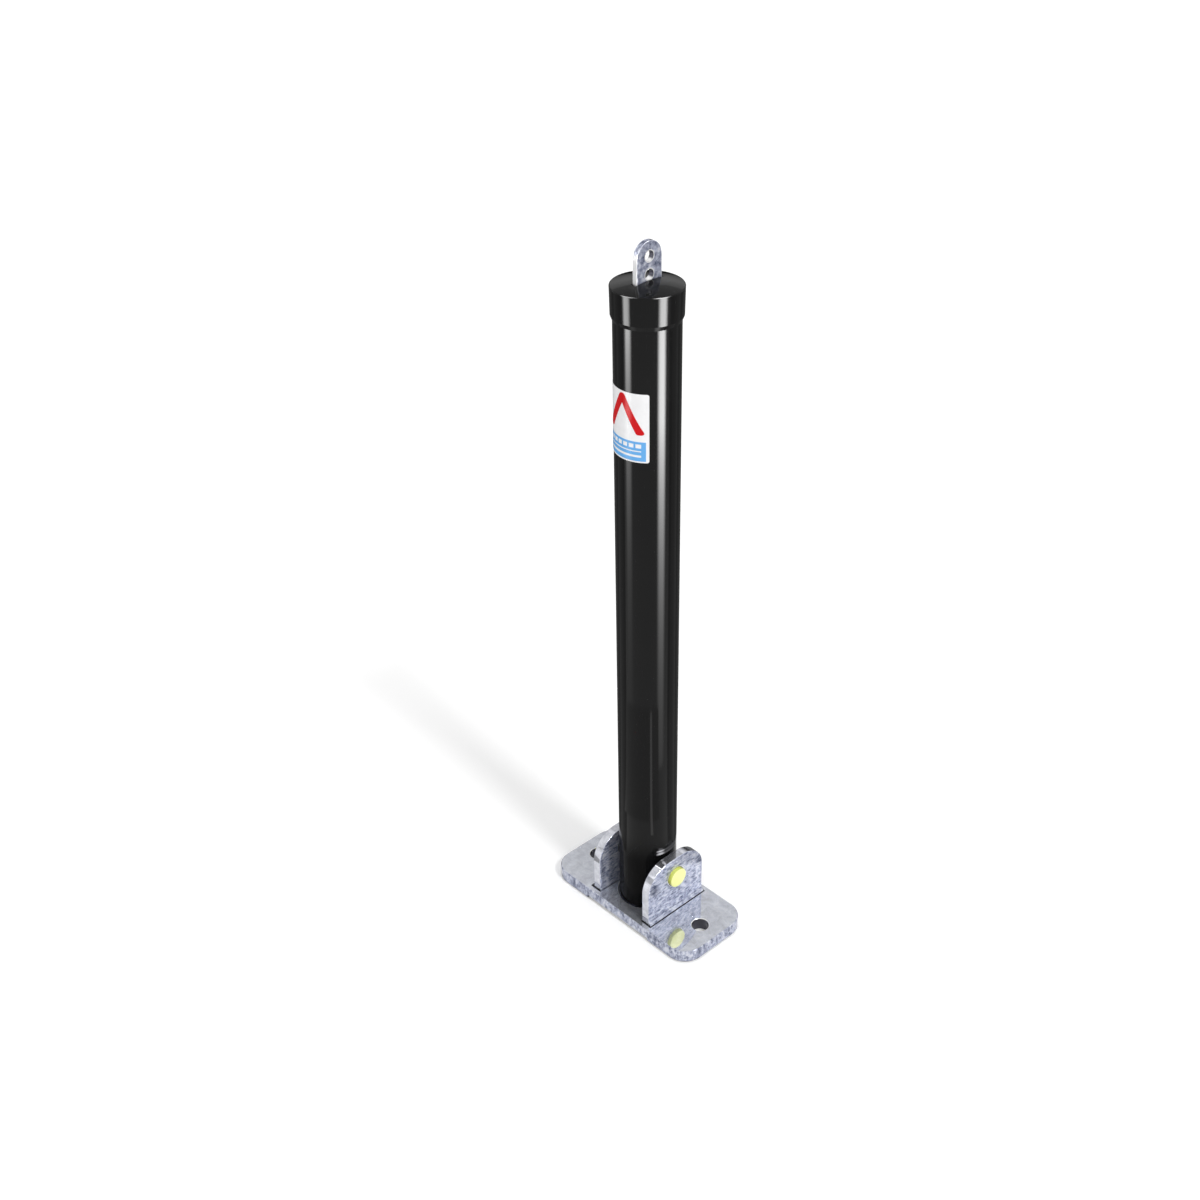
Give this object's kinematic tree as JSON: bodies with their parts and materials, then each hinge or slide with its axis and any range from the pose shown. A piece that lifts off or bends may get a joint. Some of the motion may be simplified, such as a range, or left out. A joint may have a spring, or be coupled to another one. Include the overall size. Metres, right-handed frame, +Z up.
{
  "type": "parking post",
  "caption": "Fold-down parking post: black tube on a galvanised base, lifted along a slotted inner strap and then folded about a cross pin between two ears.",
  "frame": {"origin": "on the ground under the middle of the upright post", "axes": "+Z up along the post, X along the base plate and the cross pin that it folds about, Y across the base plate"},
  "size_m": [0.203, 0.092, 0.7296],
  "materials": {
    "galvanised_steel": "hot-dip zinc with a fine spangle",
    "yellow_moulding": "moulded, semi-matt",
    "bright_steel": "turned, bright",
    "black_coat": "glossy powder coat",
    "black_moulding": "moulded, semi-gloss",
    "sticker_film": "glossy white film",
    "red_print": "printed field on the film",
    "blue_print": "printed field on the film"
  },
  "bodies": {
    "base": {"base_plate": "galvanised_steel", "yoke_plate": "galvanised_steel", "ear_left": "galvanised_steel", "ear_right": "galvanised_steel", "ear_weld_left": "galvanised_steel", "ear_weld_right": "galvanised_steel", "bush_left": "yellow_moulding", "bush_right": "yellow_moulding", "pivot_pin": "bright_steel"},
    "strap": {"lock_strap": "galvanised_steel", "pivot_sleeve": "galvanised_steel", "lift_stop_pin": "bright_steel"},
    "post": {"post_tube": "black_coat", "guide_block_left": "black_coat", "guide_block_right": "black_coat", "top_plate": "black_coat", "post_cap": "black_moulding", "marker_sticker": "sticker_film", "print_chevron": "red_print", "print_panel": "blue_print"}
  },
  "joints": [
    {"name": "post_fold", "type": "hinge", "parent": "base", "child": "strap", "pos_m": [0, 0, 0.0586], "axis": [1, 0, 0], "range_deg": [-90, 90]},
    {"name": "tube_lift", "type": "slide", "parent": "strap", "child": "post", "axis": [0, 0, 1], "range_m": [0, 0.016]}
  ]
}
